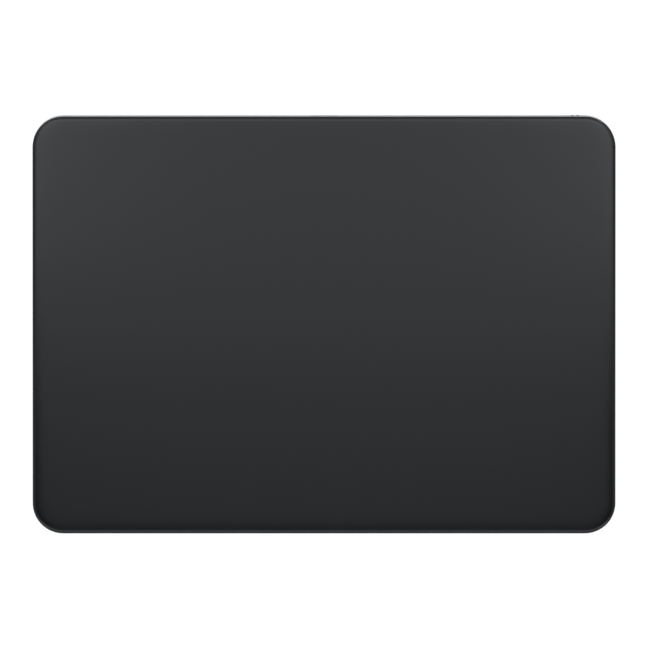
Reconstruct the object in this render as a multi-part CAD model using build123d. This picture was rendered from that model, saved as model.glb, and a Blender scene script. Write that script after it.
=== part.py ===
from build123d import *
from math import atan2, cos, hypot, sin
import os

# A low wedge-shaped trackpad with a glass top. All sizes are in millimetres.
# X runs along the width, Y from the front edge to the rear edge, and Z up from the desk.
# Depths are measured square to the glass, down from its face.
# Distances called inward are measured from the outer face of the rear wall.

# Whole object
width = 160.0
depth = 114.9
front_height = 4.9
rear_height = 10.9
corner_radius = 8.4
stand_height = 0.5

# Stack under the glass
glass_thickness = 1.0
glass_roll = 0.7
glass_back_bevel = 0.12
bond_thickness = 0.15
bond_inset = 0.8
board_thickness = 0.6
plate_thickness = 0.4
stack_clearance = 0.3

# Housing
wall = 1.6
ledge_width = 4.0
ledge_thickness = 1.0
flange_width = 2.8
flange_thickness = 0.75
bottom_round = 1.6
rim_bevel = 0.12
mouth_bevel = 0.12

# Bottom cover
cover_thickness = 0.8
cover_inset = 2.1
cover_gap = 0.1
cover_edge_bevel = 0.15
cover_bond_thickness = 0.15
cover_bond_width = 1.7

# Feet
foot_side_inset = 16.0
foot_front_inset = 13.5
foot_rear_inset = 16.5
foot_travel = 0.25
pad_diameter = 12.0
pad_hole_gap = 0.5
pad_thickness = 0.9
pad_rim_height = 0.3
pad_edge_round = 0.25
carrier_diameter = 10.4
carrier_fit = 0.05
carrier_gap = 0.05
hub_diameter = 5.0
stud_diameter = 3.0
stud_end = 0.05
retainer_diameter = 5.4
retainer_thickness = 0.35
stud_fit = 0.03

# Force sensors: steel beams that carry the feet
beam_height = 1.9
beam_thickness = 0.5
beam_length = 20.8
beam_width = 8.0
beam_corner = 1.2
beam_slot_length = 4.6
beam_slot_width = 0.9
beam_slot_x = 5.9
beam_screw_x = 8.5
beam_pocket_gap = 0.3
post_inner = 6.6
post_outer = 10.6
post_width = 9.0
window_width = 11.6
gusset_front = 10.4
gusset_inner = 10.9
gauge_length = 1.6
gauge_width = 3.0
gauge_thickness = 0.1
gauge_x = 4.0

# Screws
thread_diameter = 1.4
hole_fit = 0.03
head_diameter = 2.6
head_height = 0.4
recess_width = 0.7
recess_depth = 0.2
sensor_thread_bite = 0.7
thread_end_gap = 0.12

# Threaded bushings under the support plate
bushing_diameter = 3.2
bushing_height = 1.3

# Battery
battery_thickness = 3.9
battery_corner = 1.5
battery_edge_round = 1.0
battery_side_gap = 0.2
battery_front_gap = 3.3
battery_rear_inset = 13.0
tape_thickness = 0.1
tape_side_inset = 5.0
tape_depth_share = 0.28
tape_spread_share = 0.56
guard_board_width = 3.0
guard_board_inset = 1.5
guard_board_gap = 1.0
guard_board_thickness = 0.8
guard_chip = 1.8
guard_chip_height = 0.6

# Logic board: a strip along the rear wall with a block beside the battery
circuit_thickness = 0.8
strip_left = 12.0
strip_side_inset = 5.0
strip_inward = 2.4
strip_depth = 9.0
block_width = 17.0
block_side_gap = 2.1
block_depth = 32.0
board_corner = 0.8
connector_height = 1.0
connector_width = 3.6
connector_depth = 3.0
connector_edge_gap = 0.6
haptic_connector_side = 4.0
left_sensor_connector_side = 8.0
right_sensor_connector_side = 13.0
battery_connector_side = 3.0
battery_connector_ahead = 5.0
shield_side = 9.5
shield_behind = 18.0
shield_width = 13.0
shield_depth = 12.0
shield_height = 1.4
shield_wall = 0.2
main_chip = 5.0
radio_chip = 3.2
chip_height = 0.9
chip_spacing = 5.6
strip_chip = 4.0
strip_chip_small = 2.4
strip_chip_share = 0.35
strip_chip_small_share = 0.8
strip_driver_side = 18.0
block_chip_side = 8.5
block_chip_behind = 9.2
coax_side = 14.8
coax_behind = 8.5
coax_diameter = 2.4
coax_height = 1.1
board_screw_strip_side = 0.6
board_screw_end_side = 6.0
board_screw_front_side = 2.4
board_screw_front_behind = 8.2
board_screw_rear_side = 14.0
board_screw_rear_ahead = 4.0
screw_hole_gap = 0.1

# Board-to-board connector for the touch sensor
touch_connector_side = 7.0
touch_connector_behind = 27.5
touch_connector_width = 9.0
touch_connector_depth = 2.4
touch_header_height = 0.8
touch_slot_gap = 0.6

# Charging socket
socket_opening_width = 8.34
socket_opening_height = 2.56
socket_shell_wall = 0.3
socket_length = 7.3
socket_setback = 0.1
socket_wall_gap = 0.08
socket_core_length = 1.8
socket_core_fit = 0.02
tongue_width = 6.69
tongue_thickness = 0.7
tongue_setback = 0.8
contact_count = 12
contact_pitch = 0.5
contact_width = 0.25
contact_thickness = 0.04
contact_length = 3.6
contact_start = 0.35
bracket_thickness = 0.3
bracket_gap = 0.05
bracket_length = 6.0
bracket_inward = 3.4
bracket_screw_x = 6.9
strip_screw_inward = 7.4
bracket_ear_margin = 1.7

# Power switch
slider_side_inset = 11.1
slider_width = 3.7
slider_height = 1.7
slider_setback = 0.1
switch_travel = 2.2
slot_height = 1.95
slot_gap = 0.12
grip_width = 0.45
grip_height = 1.4
grip_proud = 0.3
grip_sunk = 0.3
grip_spacing = 1.45
grip_round = 0.15
slider_flange_margin = 0.4
slider_flange_height = 2.6
slider_flange_gap = 0.05
slider_flange_thickness = 0.35
stem_offset = 1.2
stem_width = 1.9
stem_gap = 1.0
stem_height = 1.2
stem_reach = 1.2
keeper_thickness = 0.3
keeper_height = 3.0
keeper_side = 0.3
keeper_gap = 0.1
keeper_slot_height = 1.5
indicator_thickness = 0.05
indicator_height = 1.6
module_inward = 3.4
module_width = 7.0
module_depth = 2.6
module_height = 2.8
module_slot_depth = 0.7
lever_width = 0.9
lever_height = 0.8
lever_reach = 0.7
lever_sunk = 0.4

# Haptic engine
haptic_v = -12.0
tray_cable_reach = 6.0
tray_depth = 20.0
tray_height = 2.55
tray_wall = 0.6
tray_top = 0.4
lid_thickness = 0.25
ear_length = 5.4
ear_width = 5.0
ear_thickness = 0.4
ear_screw_reach = 2.8
ear_inset = 3.5
coil_count = 2
coil_length_share = 0.79
coil_corner_share = 0.43
coil_band_share = 0.19
coil_side_gap = 2.4
coil_thickness = 0.7
coil_gap = 0.15
spring_room = 7.4
shuttle_side_gap = 1.4
shuttle_thickness = 1.1
shuttle_corner = 1.0
haptic_travel = 0.4
stop_width = 3.0
stop_reach = 2.4
stop_gap = 0.1
magnet_count = 4
magnet_width_share = 0.58
magnet_side_inset = 2.5
magnet_thickness = 0.6
magnet_fit = 0.02
spring_thickness = 0.2
spring_height = 0.9
spring_top_inset = 2.0
spring_turn = 1.1
spring_pad_inset = 3.0

# Flat cables
flex_thickness = 0.15
flex_width = 2.4
flex_corner = 1.6
flex_bend = 0.5
flex_step = 0.6
flex_run = 2.4
flex_tail_width = 1.6
trunk_gap = 0.5
trunk_tray_gap = 6.0
groove_gap = 0.3
groove_depth = 0.3

# Antenna
antenna_side_inset = 10.0
antenna_width = 8.0
antenna_length = 24.0
antenna_height = 3.05
antenna_wall = 0.7
antenna_pocket = 19.8
foil_thickness = 0.1
foil_track = 1.0
foil_span = 5.6
foil_reach = 18.0
cable_diameter = 0.8
cable_drop = 0.65
cable_lead = 6.0
cable_bend_side = 2.6
cable_bend_behind = 1.0
cable_start_v = 6.0

# Construction
tall = 2 * rear_height
overrun = 1.0

# Depths under the glass face
rim_depth = glass_thickness + bond_thickness
plate_top = rim_depth + board_thickness
plate_bottom = plate_top + plate_thickness
ledge_bottom = plate_bottom + ledge_thickness
circuit_top = plate_bottom + bushing_height
circuit_bottom = circuit_top + circuit_thickness
connector_bottom = circuit_bottom + connector_height
battery_top = plate_bottom + tape_thickness
shell_width = socket_opening_width + 2 * socket_shell_wall
shell_height = socket_opening_height + 2 * socket_shell_wall
socket_depth = circuit_bottom + shell_height / 2

# Heights over the desk
cover_top = stand_height + cover_thickness
seat_height = cover_top + cover_bond_thickness
flange_top = seat_height + flange_thickness
beam_top = beam_height + beam_thickness

# Lie of the glass: its rolled edge and the lean of the rear wall both count in the depth
rise = rear_height - front_height
wall_reach = (rear_height - stand_height - bottom_round) * rise / depth
grip_drop = socket_depth + grip_height / 2 - grip_round
grip_reach = grip_proud - slider_setback + grip_drop * rise / depth
roll_relief = glass_roll * rise / depth
glass_run = depth + roll_relief - max(wall_reach, grip_reach)
glass_length = hypot(glass_run, rise)
tilt = atan2(rise, glass_run)
slab_y = (glass_run - depth) / 2 - roll_relief
slab_z = (front_height + rear_height) / 2 + roll_relief
slab = Plane(
    origin=(0, slab_y, slab_z),
    x_dir=(1, 0, 0),
    z_dir=(0, -sin(tilt), cos(tilt)),
)
rear_face = glass_length / 2

# Places along the glass, from its middle
strip_rear = rear_face - strip_inward
strip_front = strip_rear - strip_depth
block_front = strip_front - block_depth
battery_front = haptic_v + tray_depth / 2 + battery_front_gap
battery_rear = rear_face - battery_rear_inset
battery_depth = battery_rear - battery_front
battery_v = (battery_rear + battery_front) / 2
guard_board_length = battery_depth - 2 * guard_board_inset

# Feet, as name, side and place
foot_x = width / 2 - foot_side_inset
foot_front_y = -depth / 2 + foot_front_inset
foot_rear_y = depth / 2 - foot_rear_inset

# Places across the width
trunk_x = foot_x - gusset_inner - trunk_gap - flex_width / 2
block_right = foot_x - gusset_inner - block_side_gap
block_left = block_right - block_width
battery_left = -trunk_x + flex_width / 2 + battery_side_gap
battery_right = block_left - guard_board_gap - guard_board_width
battery_width = battery_right - battery_left
battery_x = (battery_left + battery_right) / 2
strip_right = width / 2 - strip_side_inset
haptic_connector_x = block_left + haptic_connector_side
left_sensor_connector_x = block_left + left_sensor_connector_side
right_sensor_connector_x = block_left + right_sensor_connector_side
battery_connector_x = block_left + battery_connector_side
touch_connector_x = block_left + touch_connector_side
shield_x = block_left + shield_side
coax_x = block_left + coax_side
slider_x = width / 2 - slider_side_inset
antenna_x = width / 2 - antenna_side_inset

# Parts of the haptic engine
tray_width = 2 * (haptic_connector_x - tray_cable_reach)
ear_spread = tray_depth / 2 - ear_inset
shuttle_width = tray_width - 2 * (tray_wall + spring_room)
shuttle_depth = tray_depth - 2 * (tray_wall + shuttle_side_gap)
coil_spacing = shuttle_width / coil_count
coil_length = coil_spacing * coil_length_share
coil_width = tray_depth - 2 * (tray_wall + coil_side_gap)
coil_band = coil_length * coil_band_share
coil_window = min(coil_length, coil_width) - 2 * coil_band
coil_corner = coil_window * coil_corner_share
magnet_spacing = shuttle_width / magnet_count
magnet_width = magnet_spacing * magnet_width_share
magnet_depth = shuttle_depth - 2 * magnet_side_inset
spring_reach = shuttle_depth / 2 - spring_top_inset
spring_pad_reach = shuttle_depth / 2 - spring_pad_inset
feet = [
    ("front_left", -foot_x, foot_front_y),
    ("front_right", foot_x, foot_front_y),
    ("rear_left", -foot_x, foot_rear_y),
    ("rear_right", foot_x, foot_rear_y),
]

# Places in the power switch
slot_length = slider_width + switch_travel + 2 * slot_gap
slot_x = slider_x - switch_travel / 2
flange_length = slider_width + 2 * slider_flange_margin
stem_x = slider_x - stem_offset
stem_travel_x = stem_x - switch_travel / 2
slider_flange_inner = wall + slider_flange_gap + slider_flange_thickness
keeper_inward = slider_flange_inner + keeper_gap


def under(sketch, top, bottom):
    """Solid square to the glass, between two depths under its face."""
    return extrude(Pos(0, 0, -bottom) * sketch, amount=bottom - top)


def at(x, v, sketch):
    """The sketch moved across the glass."""
    return Pos(x, v) * sketch


def outline(inset):
    """The outline of the trackpad, drawn in from its edge."""
    return RectangleRounded(width - 2 * inset, glass_length - 2 * inset, corner_radius - inset)


def lie(piece):
    """Turns a piece from the glass's own axes into the desk's."""
    return slab * piece


def layer(low, high):
    """Everything between two heights over the desk."""
    block = Box(2 * width, 2 * depth, high - low, align=(Align.CENTER, Align.CENTER, Align.MIN))
    return Pos(0, 0, low) * block


def disc(diameter, low, high, x=0, y=0):
    """Upright cylinder between two heights."""
    post = Cylinder(diameter / 2, high - low, align=(Align.CENTER, Align.CENTER, Align.MIN))
    return Pos(x, y, low) * post


def column(x_size, y_size, low, high, x, y):
    """Upright block between two heights."""
    block = Box(x_size, y_size, high - low, align=(Align.CENTER, Align.CENTER, Align.MIN))
    return Pos(x, y, low) * block


def rear(sketch, x, below, outer, inner):
    """Solid on an outline drawn on the rear wall, between two distances inward from its face."""
    plane = Plane(origin=(x, rear_face - inner, -below), x_dir=(1, 0, 0), z_dir=(0, 1, 0))
    return extrude(plane * sketch, amount=inner - outer)


def mouth(length, height, x, below):
    """Bevel round the mouth of a slot in the rear wall."""
    plane = Plane(origin=(x, rear_face, -below), x_dir=(1, 0, 0), z_dir=(0, -1, 0))
    sketch = SlotOverall(length + 2 * mouth_bevel, height + 2 * mouth_bevel)
    return extrude(plane * sketch, amount=mouth_bevel, taper=45)


def group(pieces):
    """One node of separate solids."""
    return Compound([solid for piece in pieces for solid in piece.solids()])


def screw(thread_length):
    """Pan head screw, head down, with its head's upper face at zero and its thread upward."""
    head = Pos(0, 0, -head_height) * Cylinder(
        head_diameter / 2,
        head_height,
        align=(Align.CENTER, Align.CENTER, Align.MIN),
    )
    head = fillet(head.edges().sort_by(Axis.Z)[0], head_height / 2)
    thread = Cylinder(
        thread_diameter / 2,
        thread_length,
        align=(Align.CENTER, Align.CENTER, Align.MIN),
    )
    drive = extrude(Pos(0, 0, -head_height) * RegularPolygon(recess_width, 6), amount=recess_depth)
    return head + thread - drive


def glass_top():
    """Sheet of glass with a rolled upper edge."""
    sheet = under(outline(0), 0, glass_thickness)
    sheet = fillet(sheet.faces().sort_by(Axis.Z)[-1].edges(), glass_roll)
    sheet = chamfer(sheet.faces().sort_by(Axis.Z)[0].edges(), glass_back_bevel)
    return lie(sheet)


def glass_bond():
    """Adhesive film between the glass and what lies under it."""
    return lie(under(outline(bond_inset), glass_thickness, rim_depth))


def touch_sensor_board():
    """Sensor board under the whole glass."""
    return lie(under(outline(wall + stack_clearance), rim_depth, plate_top))


def support_plate():
    """Steel plate that backs the sensor board, with a slot for its connector."""
    plate = under(outline(wall + stack_clearance), plate_top, plate_bottom)
    slot = RectangleRounded(
        touch_connector_width + 2 * touch_slot_gap,
        touch_connector_depth + 2 * touch_slot_gap,
        touch_slot_gap,
    )
    slot = at(touch_connector_x, block_front + touch_connector_behind, slot)
    return lie(plate - under(slot, plate_top, plate_bottom))


def board_screw_spots():
    """Places of the screws that hold the logic board, on its strip and its block."""
    return [
        (block_left + board_screw_strip_side, rear_face - strip_screw_inward),
        (block_left + board_screw_front_side, block_front + board_screw_front_behind),
        (block_left + board_screw_rear_side, strip_front - board_screw_rear_ahead),
    ]


def bracket_screw_spots():
    """Places of the screws that hold the socket's bracket through the logic board."""
    strip_v = rear_face - strip_screw_inward
    return [(side * bracket_screw_x, strip_v) for side in (-1, 1)]


def web_screw_spot():
    """Place of the screw that holds the right end of the strip to the housing."""
    return foot_x - board_screw_end_side, rear_face - strip_screw_inward


def haptic_screw_spots():
    """Places of the screws in the ears of the haptic engine."""
    reach = tray_width / 2 + ear_screw_reach
    return [(a * reach, haptic_v + b * ear_spread) for a in (-1, 1) for b in (-1, 1)]


def plate_bushings():
    """Threaded bushings under the support plate."""
    ring = Circle(bushing_diameter / 2) - Circle(thread_diameter / 2 + hole_fit)
    spots = board_screw_spots() + bracket_screw_spots() + haptic_screw_spots()
    return group([lie(under(at(x, v, ring), plate_bottom, circuit_top)) for x, v in spots])


def tall_stack(inset, top):
    """Column of an outline that is drawn in, from a depth down past the desk."""
    return lie(under(outline(inset), top, tall))


def sensor_posts(x, y):
    """Web and two posts that carry one force sensor beam in a corner of the housing."""
    below_plate = lie(under(Rectangle(2 * width, 2 * depth), plate_bottom, tall))
    web_layer = lie(under(Rectangle(2 * width, 2 * depth), plate_bottom, ledge_bottom))
    outward = 1 if x > 0 else -1
    rearward = 1 if y > 0 else -1
    web_x_size = gusset_inner + foot_side_inset - wall
    web_y_size = gusset_front + (foot_rear_inset if y > 0 else foot_front_inset) - wall
    web_x = x + outward * (web_x_size / 2 - gusset_inner)
    web_y = y + rearward * (web_y_size / 2 - gusset_front)
    web = column(web_x_size, web_y_size, flange_top, tall, web_x, web_y) & web_layer
    web = web & tall_stack(wall / 2, plate_bottom)
    posts = []
    for side in (-1, 1):
        post_x = x + side * (post_inner + post_outer) / 2
        post = column(post_outer - post_inner, post_width, beam_top, tall, post_x, y)
        posts.append(post & below_plate)
    return web + posts


def sensor_cuts(x, y):
    """Window over the foot, pocket for the beam, screw holes and a groove for the cable."""
    window = column(2 * post_inner, window_width, 0, tall, x, y)
    pocket_x = beam_length + 2 * beam_pocket_gap
    pocket_y = beam_width + 2 * beam_pocket_gap
    pocket = column(pocket_x, pocket_y, 0, beam_top, x, y)
    cuts = [window & layer(cover_top, tall), pocket & layer(seat_height, beam_top)]
    for side in (-1, 1):
        top = beam_top + sensor_thread_bite + thread_end_gap
        cuts.append(disc(thread_diameter + 2 * hole_fit, beam_top, top, x + side * beam_screw_x, y))
    inward = -1 if x > 0 else 1
    groove_width = flex_width + 2 * groove_gap
    groove = Rectangle(gusset_inner + overrun, groove_width)
    groove = at(x + inward * (gusset_inner + overrun) / 2, flex_v(y), groove)
    cuts.append(lie(under(groove, plate_bottom, plate_bottom + groove_depth)))
    return cuts


def flex_v(y):
    """Place along the glass of a point of the support plate's underside at this Y."""
    return (y - slab_y - plate_bottom * sin(tilt)) / cos(tilt)


def housing():
    """Machined metal frame: walls, ledge for the plate, flange for the cover and sensor posts."""
    shell = tall_stack(0, rim_depth) & layer(stand_height, tall)
    bottom = shell.faces().sort_by(Axis.Z)[0]
    shell = fillet(bottom.edges(), bottom_round)
    rim = shell.faces().sort_by(SortBy.AREA)[-2:].sort_by(Axis.Z)[-1]
    shell = chamfer(rim.edges(), rim_bevel)
    shell -= lie(under(outline(wall), rim_depth, plate_bottom))
    shell -= tall_stack(wall + ledge_width, plate_bottom)
    shell -= tall_stack(wall, ledge_bottom) & layer(flange_top, tall)
    shell -= tall_stack(wall + flange_width, ledge_bottom) & layer(0, flange_top)
    shell -= tall_stack(cover_inset, ledge_bottom) & layer(0, seat_height)
    for name, x, y in feet:
        shell += sensor_posts(x, y)
    x, v = web_screw_spot()
    shell += lie(under(at(x, v, Circle(bushing_diameter / 2)), plate_bottom, circuit_top))
    web_hole = Circle(thread_diameter / 2 + hole_fit)
    shell -= lie(under(at(x, v, web_hole), plate_bottom, circuit_top))
    for name, x, y in feet:
        for cut in sensor_cuts(x, y):
            shell -= cut
    hole_length = shell_width + 2 * socket_wall_gap
    hole_height = shell_height + 2 * socket_wall_gap
    mouths = [(hole_length, hole_height, 0), (slot_length, slot_height, slot_x)]
    for length, height, x in mouths:
        hole = SlotOverall(length, height)
        shell -= lie(rear(hole, x, socket_depth, -overrun, wall + overrun))
        shell -= lie(mouth(length, height, x, socket_depth))
    return shell


def bottom_cover():
    """Flat cover over the whole underside, with a round hole for each foot."""
    cover = tall_stack(cover_inset + cover_gap, ledge_bottom) & layer(stand_height, cover_top)
    cover = chamfer(cover.faces().sort_by(Axis.Z)[0].edges(), cover_edge_bevel)
    for name, x, y in feet:
        cover -= disc(pad_diameter + 2 * pad_hole_gap, 0, tall, x, y)
    return cover


def cover_bond():
    """Ring of adhesive between the cover and the housing's flange."""
    outer = cover_inset + cover_gap
    ring = tall_stack(outer, ledge_bottom) - tall_stack(outer + cover_bond_width, ledge_bottom)
    return ring & layer(cover_top, seat_height)


def foot_pad(x, y):
    """Rubber pad, a shallow cup round the carrier's disc."""
    pad = disc(pad_diameter, 0, pad_thickness + pad_rim_height, x, y)
    pad = fillet(pad.edges().sort_by(Axis.Z)[0], pad_edge_round)
    seat = disc(carrier_diameter + 2 * carrier_fit, pad_thickness, tall, x, y)
    return pad - seat


def foot_carrier(x, y):
    """Moulded disc in the pad, with a stud up through the beam."""
    disc_top = beam_height - foot_travel - carrier_gap
    stud_top = beam_top + retainer_thickness + stud_end
    carrier = disc(carrier_diameter, pad_thickness, disc_top, x, y)
    carrier += disc(hub_diameter, disc_top, beam_height, x, y)
    return carrier + disc(stud_diameter, beam_height, stud_top, x, y)


def foot_retainer(x, y):
    """Ring pressed on the stud over the beam."""
    ring = disc(retainer_diameter, beam_top, beam_top + retainer_thickness, x, y)
    return ring - disc(stud_diameter + 2 * stud_fit, beam_height, tall, x, y)


def force_beam(x, y):
    """Steel beam with a hole for the stud and two slots that let its middle bend."""
    sheet = RectangleRounded(beam_length, beam_width, beam_corner)
    sheet -= Circle(stud_diameter / 2 + stud_fit)
    for side in (-1, 1):
        sheet -= Pos(side * beam_slot_x, 0) * SlotOverall(beam_slot_length, beam_slot_width, 90)
        sheet -= Pos(side * beam_screw_x, 0) * Circle(thread_diameter / 2 + hole_fit)
    return extrude(Pos(x, y, beam_height) * sheet, amount=beam_thickness)


def strain_gauges():
    """Two gauges on the upper face of each beam."""
    gauges = []
    for name, x, y in feet:
        for side in (-1, 1):
            top = beam_top + gauge_thickness
            gauge_place = x + side * gauge_x
            gauges.append(column(gauge_length, gauge_width, beam_top, top, gauge_place, y))
    return group(gauges)


def sensor_screws():
    """Screws that hold the beams to the housing."""
    shank = beam_thickness + sensor_thread_bite
    spots = [(x + side * beam_screw_x, y) for name, x, y in feet for side in (-1, 1)]
    return group([Pos(x, y, beam_height) * screw(shank) for x, y in spots])


def flat_run(points):
    """Flat cable against the underside of the support plate."""
    path = FilletPolyline(*points, radius=flex_corner) if len(points) > 2 else Line(*points)
    return under(trace(path, line_width=flex_width), plate_bottom, plate_bottom + flex_thickness)


def board_drop(x):
    """Flat cable that steps down from the support plate onto a connector at the block's front."""
    high = -(plate_bottom + flex_thickness / 2)
    low = -(connector_bottom + flex_thickness / 2)
    turn = block_front - flex_run
    end = block_front + connector_edge_gap + connector_depth
    points = [
        (turn - flex_run, high),
        (turn, high),
        (turn + flex_step, low),
        (end, low),
    ]
    profile = trace(FilletPolyline(*points, radius=flex_bend), line_width=flex_thickness)
    plane = Plane(origin=(x - flex_width / 2, 0, 0), x_dir=(0, 1, 0), z_dir=(1, 0, 0))
    return extrude(plane * profile, amount=flex_width)


def sensor_tail(x, y):
    """Upright end of a sensor cable, from the support plate down to the gauge on the beam."""
    inward = -1 if x > 0 else 1
    tail_x = x + inward * gauge_x
    low = beam_top + gauge_thickness
    tail = column(flex_thickness, flex_tail_width, low, tall, tail_x, y)
    return tail & lie(under(Rectangle(2 * width, 2 * depth), plate_bottom, tall))


def sensor_branch(x, y, trunk_x):
    """Flat cable from one sensor's window to its trunk line."""
    inward = -1 if x > 0 else 1
    start_x = x + inward * (gauge_x - flex_thickness / 2)
    return flat_run([(start_x, flex_v(y)), (trunk_x, flex_v(y))])


def sensor_flex_left():
    """Cable from both left sensors round the haptic engine to the logic board."""
    front_v = flex_v(foot_front_y)
    cross_v = haptic_v - tray_depth / 2 - trunk_tray_gap
    drop_v = block_front - 2 * flex_run
    trunk = [
        (-trunk_x, flex_v(foot_rear_y) + flex_width / 2),
        (-trunk_x, cross_v),
        (left_sensor_connector_x, cross_v),
        (left_sensor_connector_x, drop_v + flex_bend),
    ]
    front = [
        (-trunk_x, front_v - flex_width / 2),
        (-trunk_x, cross_v + 2 * flex_corner),
    ]
    flat = flat_run(trunk) + flat_run(front)
    flat += sensor_branch(-foot_x, foot_rear_y, -trunk_x)
    flat += sensor_branch(-foot_x, foot_front_y, -trunk_x)
    flex = lie(flat + board_drop(left_sensor_connector_x))
    return flex + sensor_tail(-foot_x, foot_rear_y) + sensor_tail(-foot_x, foot_front_y)


def sensor_flex_right():
    """Cable from both right sensors to the logic board."""
    drop_v = block_front - 2 * flex_run
    join_v = drop_v - 2 * flex_corner
    trunk = [
        (trunk_x, flex_v(foot_rear_y) + flex_width / 2),
        (trunk_x, join_v - 2 * flex_corner),
        (right_sensor_connector_x, join_v - 2 * flex_corner),
        (right_sensor_connector_x, drop_v + flex_bend),
    ]
    front = [
        (trunk_x, flex_v(foot_front_y) - flex_width / 2),
        (trunk_x, join_v),
    ]
    flat = flat_run(trunk) + flat_run(front)
    flat += sensor_branch(foot_x, foot_rear_y, trunk_x)
    flat += sensor_branch(foot_x, foot_front_y, trunk_x)
    flex = lie(flat + board_drop(right_sensor_connector_x))
    return flex + sensor_tail(foot_x, foot_rear_y) + sensor_tail(foot_x, foot_front_y)


def battery_cell():
    """Flat pouch cell."""
    sheet = at(battery_x, battery_v, RectangleRounded(battery_width, battery_depth, battery_corner))
    cell = under(sheet, battery_top, battery_top + battery_thickness)
    return lie(fillet(cell.faces().sort_by(Axis.Z)[0].edges(), battery_edge_round))


def battery_tape():
    """Two strips of pull tape that hold the cell to the support plate."""
    strips = []
    for side in (-1, 1):
        strip_v = battery_v + side * battery_depth * tape_spread_share / 2
        strip = Rectangle(battery_width - 2 * tape_side_inset, battery_depth * tape_depth_share)
        strips.append(lie(under(at(battery_x, strip_v, strip), plate_bottom, battery_top)))
    return group(strips)


def battery_guard_board():
    """Narrow protection board along the cell's right edge, with its two switching chips."""
    x = battery_right + guard_board_width / 2
    middle = (battery_top + battery_edge_round) + guard_board_thickness / 2
    top = middle - guard_board_thickness / 2
    bottom = middle + guard_board_thickness / 2
    board = under(at(x, battery_v, Rectangle(guard_board_width, guard_board_length)), top, bottom)
    for side in (-1, 1):
        chip = at(x, battery_v + side * guard_board_length / 6, Rectangle(guard_chip, guard_chip))
        board += under(chip, top - guard_chip_height, top)
    return lie(board)


def battery_lead():
    """Flat lead from the protection board to the logic board."""
    board_low = -(battery_top + battery_edge_round + guard_board_thickness + flex_thickness / 2)
    low = -(connector_bottom + flex_thickness / 2)
    points = [
        (battery_right + overrun, board_low),
        (battery_right + guard_board_width, board_low),
        (block_left - flex_bend / 2, low),
        (battery_connector_x + connector_width / 2, low),
    ]
    profile = trace(FilletPolyline(*points, radius=flex_bend), line_width=flex_thickness)
    v = strip_front - battery_connector_ahead + flex_width / 2
    plane = Plane(origin=(0, v, 0), x_dir=(1, 0, 0), z_dir=(0, -1, 0))
    return lie(extrude(plane * profile, amount=flex_width))


def circuit_outline():
    """Outline of the logic board: a strip along the rear and a block beside the battery."""
    strip_width = strip_right + strip_left
    strip = Rectangle(strip_width, strip_depth)
    strip = at((strip_right - strip_left) / 2, strip_front + strip_depth / 2, strip)
    block = Rectangle(block_right - block_left, block_depth + strip_depth / 2)
    block = at((block_left + block_right) / 2, block_front + (block_depth + strip_depth / 2) / 2, block)
    sheet = strip + block
    return fillet(sheet.vertices(), board_corner)


def logic_board():
    """Main circuit board."""
    sheet = circuit_outline()
    for x, v in board_screw_spots() + bracket_screw_spots() + [web_screw_spot()]:
        sheet -= at(x, v, Circle(thread_diameter / 2 + screw_hole_gap))
    return lie(under(sheet, circuit_top, circuit_bottom))


def board_chips():
    """Chips on the lower face of the logic board."""
    chip_v = block_front + shield_behind
    strip_v = strip_front + strip_depth / 2
    half = chip_spacing / 2
    ear_x = bracket_screw_x + bracket_ear_margin
    room = block_left - ear_x
    spots = [
        (shield_x - half, chip_v, main_chip),
        (shield_x + half, chip_v, radio_chip),
        (ear_x + room * strip_chip_share, strip_v, strip_chip),
        (ear_x + room * strip_chip_small_share, strip_v, strip_chip_small),
        (block_left + strip_driver_side, strip_v, strip_chip),
        (block_left + block_chip_side, block_front + block_chip_behind, strip_chip_small),
    ]
    chips = []
    for x, v, size in spots:
        chip = under(at(x, v, Rectangle(size, size)), circuit_bottom, circuit_bottom + chip_height)
        chips.append(lie(chip))
    return group(chips)


def radio_shield():
    """Thin metal can over the processor and the radio."""
    v = block_front + shield_behind
    outer = RectangleRounded(shield_width, shield_depth, board_corner)
    inner = RectangleRounded(
        shield_width - 2 * shield_wall,
        shield_depth - 2 * shield_wall,
        board_corner - shield_wall,
    )
    can = under(at(shield_x, v, outer), circuit_bottom, circuit_bottom + shield_height)
    hollow = under(
        at(shield_x, v, inner),
        circuit_bottom,
        circuit_bottom + shield_height - shield_wall,
    )
    return lie(can - hollow)


def board_connectors():
    """Connectors for the flat cables and the plug of the antenna cable."""
    front_v = block_front + connector_edge_gap + connector_depth / 2
    battery_v_place = strip_front - battery_connector_ahead
    spots = [
        (left_sensor_connector_x, front_v),
        (right_sensor_connector_x, front_v),
        (haptic_connector_x, front_v),
        (battery_connector_x, battery_v_place),
    ]
    block = Rectangle(connector_width, connector_depth)
    plugs = [under(at(x, v, block), circuit_bottom, connector_bottom) for x, v in spots]
    coax = at(coax_x, block_front + coax_behind, Circle(coax_diameter / 2))
    plugs.append(under(coax, circuit_bottom, circuit_bottom + coax_height))
    return group([lie(plug) for plug in plugs])


def board_screws():
    """Screws that hold the logic board and the socket's bracket to the bushings."""
    bite = bushing_height - thread_end_gap
    board = screw(circuit_thickness + bite)
    bracket = screw(circuit_thickness + bracket_thickness + bite)
    board_spots = board_screw_spots() + [web_screw_spot()]
    screws = [Pos(x, v, -circuit_bottom) * board for x, v in board_spots]
    for x, v in bracket_screw_spots():
        screws.append(Pos(x, v, -circuit_bottom - bracket_thickness) * bracket)
    return group([lie(piece) for piece in screws])


def touch_connector():
    """Two stacked halves that join the sensor board to the logic board through the plate."""
    v = block_front + touch_connector_behind
    plug = at(touch_connector_x, v, Rectangle(touch_connector_width, touch_connector_depth))
    split = circuit_top - touch_header_height
    upper = under(plug, plate_top, split)
    lower = under(plug, split, circuit_top)
    return group([lie(upper), lie(lower)])


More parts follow.
